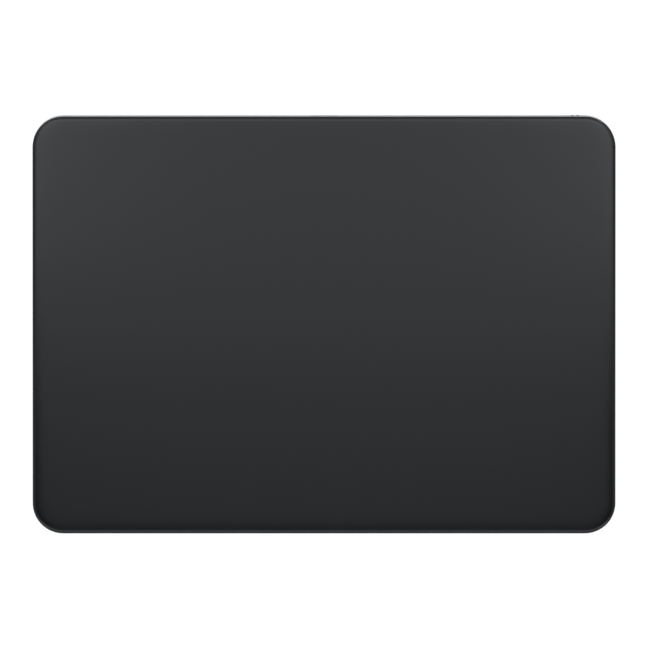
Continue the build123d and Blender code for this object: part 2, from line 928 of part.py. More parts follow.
def socket_shell():
    """Steel shell of the charging socket."""
    outer = SlotOverall(shell_width, shell_height)
    inner = SlotOverall(socket_opening_width, socket_opening_height)
    return lie(rear(outer - inner, 0, socket_depth, socket_setback, socket_length))


def socket_tongue():
    """Moulded core at the back of the shell, with the tongue that carries the contacts."""
    core = SlotOverall(
        socket_opening_width - 2 * socket_core_fit,
        socket_opening_height - 2 * socket_core_fit,
    )
    core_start = socket_length - socket_core_length
    block = rear(core, 0, socket_depth, core_start, socket_length)
    blade = Rectangle(tongue_width, tongue_thickness)
    return lie(block + rear(blade, 0, socket_depth, tongue_setback, core_start))


def socket_contacts():
    """Rows of contacts on both faces of the tongue."""
    start = tongue_setback + contact_start
    rows = []
    for face in (-1, 1):
        below = socket_depth + face * (tongue_thickness + contact_thickness) / 2
        for n in range(contact_count):
            x = (n - (contact_count - 1) / 2) * contact_pitch
            blade = Rectangle(contact_width, contact_thickness)
            rows.append(lie(rear(blade, x, below, start, start + contact_length)))
    return group(rows)


def socket_bracket():
    """Sheet metal saddle under the shell, with an ear on each side."""
    inner_x = shell_width / 2 + bracket_gap
    outer_x = inner_x + bracket_thickness
    low = circuit_bottom + shell_height + bracket_gap + bracket_thickness
    ear_x = bracket_screw_x + bracket_ear_margin
    v = rear_face - bracket_inward - bracket_length / 2
    screw_v = rear_face - strip_screw_inward - v
    saddle = under(Rectangle(2 * outer_x, bracket_length), circuit_bottom, low)
    saddle += under(
        Rectangle(2 * ear_x, bracket_length),
        circuit_bottom,
        circuit_bottom + bracket_thickness,
    )
    saddle -= under(
        Rectangle(2 * inner_x, bracket_length),
        circuit_bottom,
        low - bracket_thickness,
    )
    for side in (-1, 1):
        hole = at(side * bracket_screw_x, screw_v, Circle(thread_diameter / 2 + screw_hole_gap))
        saddle -= under(hole, circuit_bottom, low)
    return lie(Pos(0, v) * saddle)


def switch_slider():
    """Sliding button in the rear wall, with a flange behind the wall and a forked stem."""
    face = SlotOverall(slider_width, slider_height)
    block = rear(face, slider_x, socket_depth, slider_setback, wall + slider_flange_gap)
    flange = Rectangle(flange_length, slider_flange_height)
    block += rear(flange, slider_x, socket_depth, wall + slider_flange_gap, slider_flange_inner)
    fork = Rectangle(stem_width, stem_height) - Rectangle(stem_gap, stem_height)
    block += rear(fork, stem_x, socket_depth, slider_flange_inner, slider_flange_inner + stem_reach)
    for side in (-1, 1):
        grip_x = slider_x + side * grip_spacing / 2
        seat = Rectangle(grip_width, grip_height)
        block -= rear(seat, grip_x, socket_depth, slider_setback, slider_setback + grip_sunk)
    return lie(block)


def switch_grips():
    """Two dark ribs let into the slider for the fingernail."""
    ribs = []
    for side in (-1, 1):
        grip_x = slider_x + side * grip_spacing / 2
        rib = Rectangle(grip_width, grip_height)
        outer = slider_setback - grip_proud
        rib = rear(rib, grip_x, socket_depth, outer, slider_setback + grip_sunk)
        ends = rib.edges().filter_by(Axis.X).sort_by(Axis.Y)[-2:]
        ribs.append(lie(fillet(ends, grip_round)))
    return group(ribs)


def switch_keeper():
    """Plate behind the slider, on two legs against the wall, with a slot for the stem."""
    span = flange_length + switch_travel + 2 * slot_gap
    plate = Rectangle(span + 2 * keeper_side, keeper_height)
    inner = keeper_inward + keeper_thickness
    keeper = rear(plate, slot_x, socket_depth, wall, inner)
    keeper -= rear(Rectangle(span, keeper_height), slot_x, socket_depth, wall, keeper_inward)
    stem_slot = Rectangle(stem_width + switch_travel + 2 * slot_gap, keeper_slot_height)
    return lie(keeper - rear(stem_slot, stem_travel_x, socket_depth, keeper_inward, inner))


def switch_indicator():
    """Coloured patch on the keeper that shows through the slot when the slider is pushed over."""
    left = stem_travel_x + (stem_width + switch_travel) / 2 + 2 * slot_gap
    right = slot_x + slot_length / 2
    patch = Rectangle(right - left, indicator_height)
    place = (left + right) / 2
    outer = keeper_inward - indicator_thickness
    return lie(rear(patch, place, socket_depth, outer, keeper_inward))


def switch_module():
    """Electric slide switch on the logic board."""
    middle = circuit_bottom + module_height / 2
    case = Rectangle(module_width, module_height)
    body = rear(case, stem_travel_x, middle, module_inward, module_inward + module_depth)
    channel = Rectangle(lever_width + switch_travel + 2 * slot_gap, lever_height + 2 * slot_gap)
    return lie(
        body
        - rear(
            channel,
            stem_travel_x,
            socket_depth,
            module_inward,
            module_inward + module_slot_depth,
        )
    )


def switch_lever():
    """Lever of the electric switch, held in the slider's fork."""
    lever = Rectangle(lever_width, lever_height)
    outer = module_inward - lever_reach
    return lie(rear(lever, stem_x, socket_depth, outer, module_inward + lever_sunk))


def haptic_box(x_size, v_size, top, bottom, x=0, v=0):
    """Block of the haptic engine, between two depths under the support plate."""
    sheet = at(x, haptic_v + v, Rectangle(x_size, v_size))
    return under(sheet, plate_bottom + top, plate_bottom + bottom)


def haptic_tray():
    """Pressed steel tray under the plate, open downward, with four screw ears and two stops."""
    tray = haptic_box(tray_width, tray_depth, 0, tray_height)
    tray -= haptic_box(tray_width - 2 * tray_wall, tray_depth - 2 * tray_wall, tray_top, tray_height)
    ear_x = (tray_width + ear_length) / 2
    for a in (-1, 1):
        for b in (-1, 1):
            tray += haptic_box(
                ear_length,
                ear_width,
                bushing_height,
                bushing_height + ear_thickness,
                a * ear_x,
                b * ear_spread,
            )
    for x, v in haptic_screw_spots():
        hole = at(x, v, Circle(thread_diameter / 2 + screw_hole_gap))
        tray -= under(hole, circuit_top, circuit_top + ear_thickness)
    stop_v = tray_depth / 2 - tray_wall - stop_reach / 2
    for side in (-1, 1):
        tray += haptic_box(stop_width, stop_reach, tray_top, tray_height, 0, side * stop_v)
    return lie(tray)


def haptic_coils():
    """Flat racetrack coils under the tray's top."""
    coils = []
    for n in range(coil_count):
        x = (n - (coil_count - 1) / 2) * coil_spacing
        band = RectangleRounded(coil_length, coil_width, coil_corner + coil_band / 2)
        inner = RectangleRounded(
            coil_length - 2 * coil_band,
            coil_width - 2 * coil_band,
            coil_corner,
        )
        band = at(x, haptic_v, band - inner)
        top = plate_bottom + tray_top
        coils.append(lie(under(band, top, top + coil_thickness)))
    return group(coils)


def shuttle_levels():
    """Depths of the shuttle's upper and lower faces under the support plate."""
    top = tray_top + coil_thickness + coil_gap
    return top, top + shuttle_thickness


def magnet_places():
    """Places of the magnets along the shuttle."""
    return [(n - (magnet_count - 1) / 2) * magnet_spacing for n in range(magnet_count)]


def haptic_shuttle():
    """Moving mass, with a pocket for each magnet and a notch over each stop."""
    top, bottom = shuttle_levels()
    sheet = at(0, haptic_v, RectangleRounded(shuttle_width, shuttle_depth, shuttle_corner))
    mass = under(sheet, plate_bottom + top, plate_bottom + bottom)
    for x in magnet_places():
        pocket_x = magnet_width + 2 * magnet_fit
        pocket_v = magnet_depth + 2 * magnet_fit
        mass -= haptic_box(pocket_x, pocket_v, top, top + magnet_thickness, x)
    notch_width = stop_width + 2 * (haptic_travel + stop_gap)
    notch_depth = stop_reach + stop_gap
    notch_v = tray_depth / 2 - tray_wall - notch_depth / 2
    for side in (-1, 1):
        mass -= haptic_box(notch_width, notch_depth, top, bottom, 0, side * notch_v)
    return lie(mass)


def haptic_magnets():
    """Magnets let into the shuttle's upper face."""
    top, bottom = shuttle_levels()
    blocks = [
        haptic_box(magnet_width, magnet_depth, top, top + magnet_thickness, x)
        for x in magnet_places()
    ]
    return group([lie(block) for block in blocks])


def haptic_spring(side):
    """Folded leaf spring between the shuttle's end and the tray's end wall."""
    top, bottom = shuttle_levels()
    middle = (top + bottom) / 2
    near = shuttle_width / 2 + spring_thickness / 2
    far = tray_width / 2 - tray_wall - spring_thickness / 2
    points = [
        (side * near, haptic_v - spring_pad_reach),
        (side * near, haptic_v + spring_pad_reach - spring_turn),
        (side * (near + far) / 2, haptic_v + spring_reach + spring_turn),
        (side * far, haptic_v + spring_pad_reach - spring_turn),
        (side * far, haptic_v - spring_pad_reach),
    ]
    leaf = trace(FilletPolyline(*points, radius=spring_turn), line_width=spring_thickness)
    top_depth = plate_bottom + middle - spring_height / 2
    return lie(under(leaf, top_depth, top_depth + spring_height))


def haptic_lid():
    """Thin cover that closes the tray."""
    return lie(haptic_box(tray_width, tray_depth, tray_height, tray_height + lid_thickness))


def haptic_screws():
    """Screws through the ears into the bushings."""
    piece = screw(ear_thickness + bushing_height - thread_end_gap)
    level = circuit_top + ear_thickness
    return group([lie(Pos(x, v, -level) * piece) for x, v in haptic_screw_spots()])


def haptic_flex():
    """Cable from the side of the haptic engine's tray to the logic board."""
    path = [
        (tray_width / 2, haptic_v),
        (haptic_connector_x, haptic_v),
        (haptic_connector_x, block_front - 2 * flex_run + flex_bend),
    ]
    return lie(flat_run(path) + board_drop(haptic_connector_x))


def antenna_carrier():
    """Moulded channel that holds the antenna close to the bottom cover."""
    low = plate_bottom + antenna_height
    block = under(at(antenna_x, 0, Rectangle(antenna_width, antenna_length)), plate_bottom, low)
    pocket = at(antenna_x - antenna_wall, 0, Rectangle(antenna_width, antenna_pocket))
    return lie(block - under(pocket, plate_bottom + antenna_wall, low - antenna_wall))


def antenna_foil():
    """Bent track of foil on the carrier's lower face."""
    low = plate_bottom + antenna_height
    spine = at(antenna_x, 0, Rectangle(foil_track, foil_reach))
    for n in (-1, 0, 1):
        arm_x = antenna_x - n * foil_track
        arm = Rectangle(foil_span, foil_track)
        spine += at(arm_x, n * (foil_reach - foil_track) / 2, arm)
    return lie(under(spine, low, low + foil_thickness))


def antenna_cable():
    """Thin coaxial cable from the antenna to its plug on the logic board."""
    low = circuit_bottom + cable_drop
    start_x = antenna_x - antenna_width / 2
    coax_v = block_front + coax_behind
    bend = Vector(block_right + cable_bend_side, block_front + cable_bend_behind)
    last = Vector(coax_x, coax_v) - bend
    end = bend + last.normalized() * (last.length - coax_diameter / 2)
    points = [
        (start_x, cable_start_v, -low),
        (start_x - cable_lead, cable_start_v, -low),
        (bend.X, bend.Y, -low),
        (end.X, end.Y, -low),
    ]
    path = FilletPolyline(*points, radius=2 * cable_diameter)
    section = Plane(origin=path @ 0, z_dir=path % 0) * Circle(cable_diameter / 2)
    return lie(sweep(section, path=path))


def save(name, piece):
    """Writes one piece to its own file."""
    export_step(piece, os.path.join("parts", name + ".step"))


def build():
    """Makes and writes every piece."""
    os.makedirs("parts", exist_ok=True)
    save("glass_top", glass_top())
    save("glass_bond", glass_bond())
    save("touch_sensor_board", touch_sensor_board())
    save("support_plate", support_plate())
    save("plate_bushings", plate_bushings())
    save("housing", housing())
    save("bottom_cover", bottom_cover())
    save("cover_bond", cover_bond())
    for name, x, y in feet:
        save("foot_pad_" + name, foot_pad(x, y))
        save("foot_carrier_" + name, foot_carrier(x, y))
        save("foot_retainer_" + name, foot_retainer(x, y))
        save("force_beam_" + name, force_beam(x, y))
    save("strain_gauges", strain_gauges())
    save("sensor_screws", sensor_screws())
    save("sensor_flex_left", sensor_flex_left())
    save("sensor_flex_right", sensor_flex_right())
    save("battery_cell", battery_cell())
    save("battery_tape", battery_tape())
    save("battery_guard_board", battery_guard_board())
    save("battery_lead", battery_lead())
    save("logic_board", logic_board())
    save("board_chips", board_chips())
    save("radio_shield", radio_shield())
    save("board_connectors", board_connectors())
    save("board_screws", board_screws())
    save("touch_connector", touch_connector())
    save("socket_shell", socket_shell())
    save("socket_tongue", socket_tongue())
    save("socket_contacts", socket_contacts())
    save("socket_bracket", socket_bracket())
    save("switch_slider", switch_slider())
    save("switch_grips", switch_grips())
    save("switch_keeper", switch_keeper())
    save("switch_indicator", switch_indicator())
    save("switch_module", switch_module())
    save("switch_lever", switch_lever())
    save("haptic_tray", haptic_tray())
    save("haptic_coils", haptic_coils())
    save("haptic_shuttle", haptic_shuttle())
    save("haptic_magnets", haptic_magnets())
    save("haptic_spring_left", haptic_spring(-1))
    save("haptic_spring_right", haptic_spring(1))
    save("haptic_lid", haptic_lid())
    save("haptic_screws", haptic_screws())
    save("haptic_flex", haptic_flex())
    save("antenna_carrier", antenna_carrier())
    save("antenna_foil", antenna_foil())
    save("antenna_cable", antenna_cable())


build()
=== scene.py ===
import math

import bmesh
import bpy
from mathutils import Matrix, Vector


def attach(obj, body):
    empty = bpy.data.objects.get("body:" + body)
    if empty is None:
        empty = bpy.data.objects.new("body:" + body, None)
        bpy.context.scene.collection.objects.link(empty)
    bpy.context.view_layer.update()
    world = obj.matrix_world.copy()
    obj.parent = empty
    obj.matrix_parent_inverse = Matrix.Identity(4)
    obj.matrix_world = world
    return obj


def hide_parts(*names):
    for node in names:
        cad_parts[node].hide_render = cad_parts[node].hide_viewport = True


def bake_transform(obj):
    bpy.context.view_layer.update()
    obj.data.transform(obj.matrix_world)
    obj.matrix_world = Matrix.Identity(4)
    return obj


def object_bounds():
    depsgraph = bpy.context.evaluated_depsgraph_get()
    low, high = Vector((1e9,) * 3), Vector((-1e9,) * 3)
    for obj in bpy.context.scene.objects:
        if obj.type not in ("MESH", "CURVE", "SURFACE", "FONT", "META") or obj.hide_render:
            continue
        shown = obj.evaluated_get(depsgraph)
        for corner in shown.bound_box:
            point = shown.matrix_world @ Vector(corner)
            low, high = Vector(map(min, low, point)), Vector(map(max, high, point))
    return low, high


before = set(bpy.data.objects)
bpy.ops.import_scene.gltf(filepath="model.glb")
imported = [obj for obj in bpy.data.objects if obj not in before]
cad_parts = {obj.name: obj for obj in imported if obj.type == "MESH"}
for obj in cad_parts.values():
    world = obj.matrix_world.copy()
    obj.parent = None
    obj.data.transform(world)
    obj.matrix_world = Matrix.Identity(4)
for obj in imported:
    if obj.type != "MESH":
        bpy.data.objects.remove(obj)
cad_low, cad_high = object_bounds()

MM = 0.001
MICRON = 0.000001

# The photograph's frame, and the edges of the object in it, in pixels
PHOTO_SIDE = 648
PHOTO_LEFT = 32.66
PHOTO_RIGHT = 615.44
PHOTO_REAR = 115.2
PHOTO_FRONT = 533.1

# Camera
LENS = 1500
SENSOR = 36

# Glass sheet
GLASS_CORNER = 8.4 * MM
GLASS_ROLL = 1.25 * MM
GLASS_ROLL_DEPTH = 0.62 * MM
GLASS_BACK_BEVEL = 0.12 * MM
GLASS_SUPPORT = 0.25 * MM
CORNER_STEPS = 32
ROLL_STEPS = 16

# The ease of the glass towards its roll: two slopes add up, one that starts early and one late
GLASS_EASE = 7 * MM
GLASS_EASE_EARLY = math.radians(2.5)
GLASS_EASE_EARLY_POWER = 3
GLASS_EASE_LATE = math.radians(3.5)
GLASS_EASE_LATE_POWER = 9
EASE_STEPS = 20

# A face of the glass whose normal rises more than this is part of its top
TOP_FACE_RISE = 0.9

# How an edge is found: rays of the bevel, and the dot of both normals where a point is all edge
EDGE_SAMPLES = 4
EDGE_TURN = 0.75
WEAR_WIDTH = 0.2 * MM

# The housing's upward faces are its cut ledges, painted darker as shade, from some to all as the normal
# rises this far
SHADE_RISE_FROM = 0.5
SHADE_RISE_TO = 0.85

# Waves of a wave texture in one unit of its scale
WAVES_IN_UNIT = 20

# Floor
FLOOR_RADIUS = 20
FLOOR_SIDES = 64
FLOOR_PAPER_DARK = 0.56
FLOOR_PAPER_LIGHT = 0.6
FLOOR_SHADE = 0.25
FLOOR_GLOW = 0.9

# Surroundings, from the horizon up to where they are darkest
WORLD_COLOUR = (0.97, 0.99, 1.0, 1)
WORLD_HORIZON = 0.3
WORLD_TOP = 0.03
WORLD_TOP_RISE = 0.7

# Lights. The corner patches overlap the canopy, so they hang a little below it
LIGHT_COLOUR = (0.965, 1.0, 1.035)
CANOPY_HEIGHT = 0.32
PATCH_HEIGHT = 0.31

WHITE = (1, 1, 1, 1)


# Nodes of a material, and of the world


class Nodes:
    """A node tree whose nodes are added one after another."""

    def __init__(self, tree):
        self.tree = tree
        self.tree.nodes.clear()

    def feed(self, socket, value):
        """Gives a socket its number or colour, or the socket that feeds it."""
        if isinstance(value, bpy.types.NodeSocket):
            self.tree.links.new(value, socket)
        else:
            socket.default_value = value

    def add(self, kind, inputs=None, **settings):
        """Adds a node with its inputs and settings."""
        node = self.tree.nodes.new(kind)
        for name, value in settings.items():
            setattr(node, name, value)
        for name, value in (inputs or {}).items():
            self.feed(node.inputs[name], value)
        return node

    def remap(self, value, low, high, new_low, new_high):
        """Takes a value from one range into another."""
        inputs = {
            "Value": value,
            "From Min": low,
            "From Max": high,
            "To Min": new_low,
            "To Max": new_high,
        }
        return self.add("ShaderNodeMapRange", inputs).outputs["Result"]

    def seen_or_not(self, unseen, seen):
        """One shader for what the camera sees, and another for what lights and mirrors see."""
        camera = self.add("ShaderNodeLightPath").outputs["Is Camera Ray"]
        return self.add("ShaderNodeMixShader", {"Fac": camera, 1: unseen, 2: seen}).outputs["Shader"]


class Recipe(Nodes):
    """A material, with the patterns that its surface is made of."""

    def __init__(self, name):
        self.material = bpy.data.materials.new(name)
        self.material.use_nodes = True
        super().__init__(self.material.node_tree)
        self.place = self.add("ShaderNodeTexCoord").outputs["Object"]

    def stretch(self, factors):
        """The place on the piece, drawn out by a factor along each axis."""
        node = self.add("ShaderNodeMapping", {"Vector": self.place})
        node.inputs["Scale"].default_value = factors
        return node.outputs["Vector"]

    def noise(self, size, detail=2.0, rough=0.5, vector=None):
        """Cloudy noise whose features are about this size."""
        inputs = {
            "Vector": vector or self.place,
            "Scale": 1 / size,
            "Detail": detail,
            "Roughness": rough,
        }
        return self.add("ShaderNodeTexNoise", inputs).outputs["Fac"]

    def cells(self, size):
        """Distance to the nearest of many scattered points."""
        inputs = {"Vector": self.place, "Scale": 1 / size}
        return self.add("ShaderNodeTexVoronoi", inputs).outputs["Distance"]

    def waves(self, spacing, direction, distortion=0.0):
        """Even waves with about this spacing."""
        inputs = {
            "Vector": self.place,
            "Scale": 1 / (spacing * WAVES_IN_UNIT),
            "Distortion": distortion,
        }
        return self.add("ShaderNodeTexWave", inputs, bands_direction=direction).outputs["Fac"]

    def math(self, operation, first, second):
        """One sum on two values."""
        return self.add("ShaderNodeMath", {0: first, 1: second}, operation=operation).outputs["Value"]

    def mix(self, share, first, second):
        """Mixes two colours by a share."""
        node = self.add("ShaderNodeMix", data_type="RGBA")
        for name, value in (("Factor", share), ("A", first), ("B", second)):
            socket = next(s for s in node.inputs if s.enabled and s.name == name)
            self.feed(socket, value)
        return next(s for s in node.outputs if s.enabled)

    def bump(self, height, depth):
        """Raises the surface by this depth where the height is one."""
        inputs = {"Height": height, "Distance": depth, "Strength": 1.0}
        return self.add("ShaderNodeBump", inputs).outputs["Normal"]

    def normal(self):
        """The direction that the surface faces."""
        return self.add("ShaderNodeNewGeometry").outputs["Normal"]

    def edges(self, radius):
        """How near a sharp edge a point is, from 0 to 1."""
        bevel = self.add("ShaderNodeBevel", {"Radius": radius}, samples=EDGE_SAMPLES)
        inputs = {0: bevel.outputs["Normal"], 1: self.normal()}
        turn = self.add("ShaderNodeVectorMath", inputs, operation="DOT_PRODUCT").outputs["Value"]
        return self.remap(turn, 1.0, EDGE_TURN, 0.0, 1.0)

    def close(self, shader):
        """Ends the material with the shader of its surface."""
        self.add("ShaderNodeOutputMaterial", {"Surface": shader})
        return self.material

    def finish(self, inputs):
        """Ends the material with a surface that has these inputs."""
        return self.close(self.add("ShaderNodeBsdfPrincipled", inputs).outputs["BSDF"])


def shade(colour, factor):
    """A colour made lighter or darker by a factor."""
    return tuple(min(1.0, part * factor) for part in colour[:3]) + (1.0,)


def grey(level):
    """A grey of this level."""
    return (level, level, level, 1)


# Materials


def black_glass():
    """Satin glass, printed black behind: a fine etched grain and the faintest trace of handling."""
    m = Recipe("black_glass")
    smears = m.noise(18 * MM, 3.0, 0.6, m.stretch((1.0, 0.6, 1.0)))
    etch = m.noise(0.09 * MM, 1.0)
    tone = m.mix(smears, (0.0026, 0.0028, 0.0036, 1), (0.0031, 0.0033, 0.0042, 1))
    return m.finish({
        "Base Color": tone,
        "Roughness": m.remap(smears, 0.3, 0.7, 0.235, 0.25),
        "IOR": 1.5,
        "Normal": m.bump(etch, 0.6 * MICRON),
    })


def satin_aluminium():
    """Bead blasted and anodised aluminium, worn a little at its edges, with painted shade on cut ledges
    that face up.
    """
    m = Recipe("satin_aluminium")
    rise = m.add("ShaderNodeSeparateXYZ", {"Vector": m.normal()}).outputs["Z"]
    # Painted shade: faces that look up, the cut ledges inside the openings, are darkened towards a dark
    # grey
    ledge_shade = m.remap(rise, SHADE_RISE_FROM, SHADE_RISE_TO, 0.0, 0.85)
    cloud = m.noise(9 * MM, 3.0)
    blast = m.noise(0.12 * MM, 2.0, 0.7)
    patches = m.remap(m.noise(1.4 * MM, 3.0), 0.45, 0.7, 0.0, 0.4)
    worn = m.math("MULTIPLY", m.edges(WEAR_WIDTH), patches)
    tone = m.mix(cloud, (0.78, 0.785, 0.79, 1), (0.83, 0.832, 0.835, 1))
    grains = m.math("ADD", m.remap(blast, 0.2, 0.8, 0.38, 0.48), m.math("MULTIPLY", worn, -0.1))
    skin = m.mix(worn, tone, (0.9, 0.9, 0.905, 1))
    return m.finish({
        "Base Color": m.mix(ledge_shade, skin, grey(0.1)),
        "Metallic": 1.0,
        "Roughness": grains,
        "Normal": m.bump(blast, 2.5 * MICRON),
    })


def moulded(name, colour, gloss=0.5, texture=0.25 * MM, depth=6 * MICRON, ior=1.47):
    """Moulded plastic with a spark-eroded grain, dulled and lightened where it is handled."""
    m = Recipe(name)
    grain = m.noise(texture, 3.0, 0.6)
    cloud = m.noise(7 * MM, 2.0)
    worn = m.math("MULTIPLY", m.edges(WEAR_WIDTH), m.remap(cloud, 0.4, 0.65, 0.0, 0.6))
    tone = m.mix(cloud, shade(colour, 0.95), shade(colour, 1.05))
    return m.finish({
        "Base Color": m.mix(worn, tone, shade(colour, 1.15)),
        "Roughness": m.remap(grain, 0.25, 0.75, gloss - 0.05, gloss + 0.08),
        "IOR": ior,
        "Normal": m.bump(grain, depth),
    })


def rubber(name, colour):
    """Silicone rubber: fine tooth, with dust caught in it."""
    m = Recipe(name)
    tooth = m.noise(0.18 * MM, 3.0, 0.7)
    dust = m.remap(m.noise(0.5 * MM, 4.0, 0.75), 0.62, 0.75, 0.0, 0.35)
    cloud = m.noise(4 * MM, 2.0)
    tone = m.mix(cloud, shade(colour, 0.93), shade(colour, 1.05))
    return m.finish({
        "Base Color": m.mix(dust, tone, shade(colour, 1.35)),
        "Roughness": m.remap(tooth, 0.3, 0.7, 0.68, 0.86),
        "IOR": 1.41,
        "Sheen Weight": 0.15,
        "Normal": m.bump(tooth, 9 * MICRON),
    })


def sheet_metal(name, colour, gloss=0.3, streak=(1.0, 25.0, 25.0), spots=0.0):
    """Rolled or drawn sheet metal: streaks along the rolling direction and a few stains."""
    m = Recipe(name)
    lines = m.noise(1.6 * MM, 3.0, 0.65, m.stretch(streak))
    stains = m.remap(m.noise(2.2 * MM, 4.0, 0.7), 0.55, 0.8, 0.0, 1.0)
    tone = m.mix(lines, shade(colour, 0.88), shade(colour, 1.08))
    if spots:
        tone = m.mix(m.math("MULTIPLY", stains, spots), tone, shade(colour, 0.55))
    return m.finish({
        "Base Color": tone,
        "Metallic": 1.0,
        "Roughness": m.remap(lines, 0.25, 0.75, gloss - 0.06, gloss + 0.1),
        "Normal": m.bump(lines, 2 * MICRON),
    })


def plated(name, colour, gloss, size=0.3 * MM, depth=3 * MICRON):
    """Plated or turned metal with a fine uneven skin."""
    m = Recipe(name)
    skin = m.noise(size, 3.0, 0.6)
    cloud = m.noise(3 * MM, 3.0)
    tone = m.mix(cloud, shade(colour, 0.88), shade(colour, 1.1))
    return m.finish({
        "Base Color": tone,
        "Metallic": 1.0,
        "Roughness": m.remap(skin, 0.25, 0.75, gloss - 0.05, gloss + 0.1),
        "Normal": m.bump(skin, depth),
    })


def film(name, colour, line_colour, spacing, gloss=0.35):
    """Thin film with metal tracks laminated in it, seen as fine raised lines."""
    m = Recipe(name)
    tracks = m.remap(m.waves(spacing, "DIAGONAL"), 0.45, 0.6, 0.0, 1.0)
    cloud = m.noise(3 * MM, 3.0)
    base = m.mix(cloud, shade(colour, 0.85), shade(colour, 1.15))
    return m.finish({
        "Base Color": m.mix(tracks, base, line_colour),
        "Roughness": m.remap(cloud, 0.3, 0.7, gloss - 0.05, gloss + 0.1),
        "Coat Weight": 0.4,
        "Coat Roughness": 0.25,
        "Normal": m.bump(tracks, 12 * MICRON),
    })


def circuit_board():
    """Dark solder mask over copper tracks, with plated through holes."""
    m = Recipe("circuit_board")
    tracks = {
        "Vector": m.place,
        "Scale": 1 / (6 * MM),
        "Mortar Size": 0.035,
        "Mortar Smooth": 0.2,
        "Brick Width": 0.9,
        "Row Height": 0.22,
    }
    grid = m.add("ShaderNodeTexBrick", tracks).outputs["Fac"]
    holes = m.remap(m.cells(1.7 * MM), 0.13, 0.1, 0.0, 1.0)
    cloud = m.noise(5 * MM, 3.0)
    mask = m.mix(cloud, (0.012, 0.030, 0.026, 1), (0.018, 0.042, 0.035, 1))
    tracked = m.mix(grid, mask, (0.03, 0.085, 0.06, 1))
    relief = m.math("ADD", grid, m.math("MULTIPLY", holes, -0.7))
    return m.finish({
        "Base Color": m.mix(holes, tracked, (0.55, 0.42, 0.2, 1)),
        "Roughness": m.remap(cloud, 0.3, 0.7, 0.34, 0.46),
        "Coat Weight": 0.3,
        "Coat Roughness": 0.3,
        "Normal": m.bump(relief, 18 * MICRON),
    })


def cell_pouch():
    """Black wrapped foil pouch, slightly creased."""
    m = Recipe("cell_pouch")
    creases = m.noise(5 * MM, 4.0, 0.6, m.stretch((0.5, 1.0, 1.0)))
    weave = m.noise(0.2 * MM, 2.0)
    height = m.math("ADD", creases, m.math("MULTIPLY", weave, 0.05))
    tone = m.mix(creases, (0.010, 0.010, 0.012, 1), (0.018, 0.018, 0.020, 1))
    return m.finish({
        "Base Color": tone,
        "Roughness": m.remap(weave, 0.3, 0.7, 0.36, 0.5),
        "Normal": m.bump(height, 90 * MICRON),
    })


def wound_copper():
    """Enamelled copper wire, wound side by side."""
    m = Recipe("coil_copper")
    turns = m.waves(0.12 * MM, "Y", 0.4)
    cloud = m.noise(2 * MM, 2.0)
    tone = m.mix(cloud, (0.45, 0.16, 0.07, 1), (0.62, 0.25, 0.11, 1))
    return m.finish({
        "Base Color": tone,
        "Metallic": 1.0,
        "Roughness": m.remap(turns, 0.0, 1.0, 0.26, 0.42),
        "Coat Weight": 0.6,
        "Coat Roughness": 0.2,
        "Normal": m.bump(turns, 20 * MICRON),
    })


MATERIALS = {
    "black_glass": black_glass(),
    "satin_aluminium": satin_aluminium(),
    "cover_plastic": moulded("cover_plastic", (0.60, 0.60, 0.61), 0.55, 0.3 * MM, 7 * MICRON),
    "foot_rubber": rubber("foot_rubber", (0.34, 0.34, 0.35)),
    "adhesive": rubber("adhesive", (0.012, 0.012, 0.012)),
    "circuit_board": circuit_board(),
    "steel_plate": sheet_metal("steel_plate", (0.47, 0.47, 0.48), 0.36, spots=0.2),
    "brass_thread": plated("brass_thread", (0.62, 0.45, 0.18), 0.28),
    "gauge_film": film("gauge_film", (0.35, 0.13, 0.02), (0.5, 0.48, 0.42, 1), 0.1 * MM),
    "flex_film": film("flex_film", (0.13, 0.045, 0.012), (0.22, 0.08, 0.02, 1), 0.15 * MM),
    "screw_steel": plated("screw_steel", (0.16, 0.16, 0.17), 0.32),
    "cell_pouch": cell_pouch(),
    "white_tape": moulded("white_tape", (0.75, 0.75, 0.74), 0.6, 0.4 * MM, 15 * MICRON),
    "chip_black": moulded("chip_black", (0.014, 0.014, 0.014), 0.5, 0.1 * MM, 5 * MICRON),
    "tinned_steel": sheet_metal("tinned_steel", (0.66, 0.66, 0.65), 0.3, spots=0.1),
    "connector_plastic": moulded("connector_plastic", (0.60, 0.54, 0.40), 0.4),
    "socket_steel": sheet_metal("socket_steel", (0.42, 0.42, 0.43), 0.3, (25.0, 1.0, 25.0)),
    "socket_plastic": moulded("socket_plastic", (0.016, 0.016, 0.017), 0.42),
    "contact_gold": plated("contact_gold", (0.83, 0.58, 0.2), 0.2, 0.1 * MM, 1 * MICRON),
    "slider_plastic": moulded("slider_plastic", (0.72, 0.72, 0.73), 0.42, 0.12 * MM, 3 * MICRON),
    "grip_plastic": moulded("grip_plastic", (0.012, 0.012, 0.013), 0.7, 0.1 * MM, 3 * MICRON, 1.25),
    "indicator_green": moulded("indicator_green", (0.02, 0.45, 0.06), 0.4, 0.15 * MM, 3 * MICRON),
    "coil_copper": wound_copper(),
    "heavy_metal": plated("heavy_metal", (0.30, 0.30, 0.31), 0.4, 0.15 * MM, 8 * MICRON),
    "magnet_nickel": plated("magnet_nickel", (0.66, 0.64, 0.6), 0.16),
    "spring_steel": sheet_metal("spring_steel", (0.52, 0.52, 0.54), 0.26),
    "white_plastic": moulded("white_plastic", (0.74, 0.74, 0.72), 0.45),
    "cable_jacket": moulded("cable_jacket", (0.02, 0.02, 0.02), 0.5, 0.2 * MM, 5 * MICRON),
}


def dress(piece, slot):
    """Gives a piece the one material of its slot."""
    piece.data.materials.clear()
    piece.data.materials.append(MATERIALS[slot])


def dress_cad_nodes():
    """Gives every node of the model the material of the slot that it was packed with."""
    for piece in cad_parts.values():
        packed = piece.material_slots[0].material.name.split(".")[0]
        for entry in piece.material_slots:
            entry.material = MATERIALS[packed]


# Glass sheet


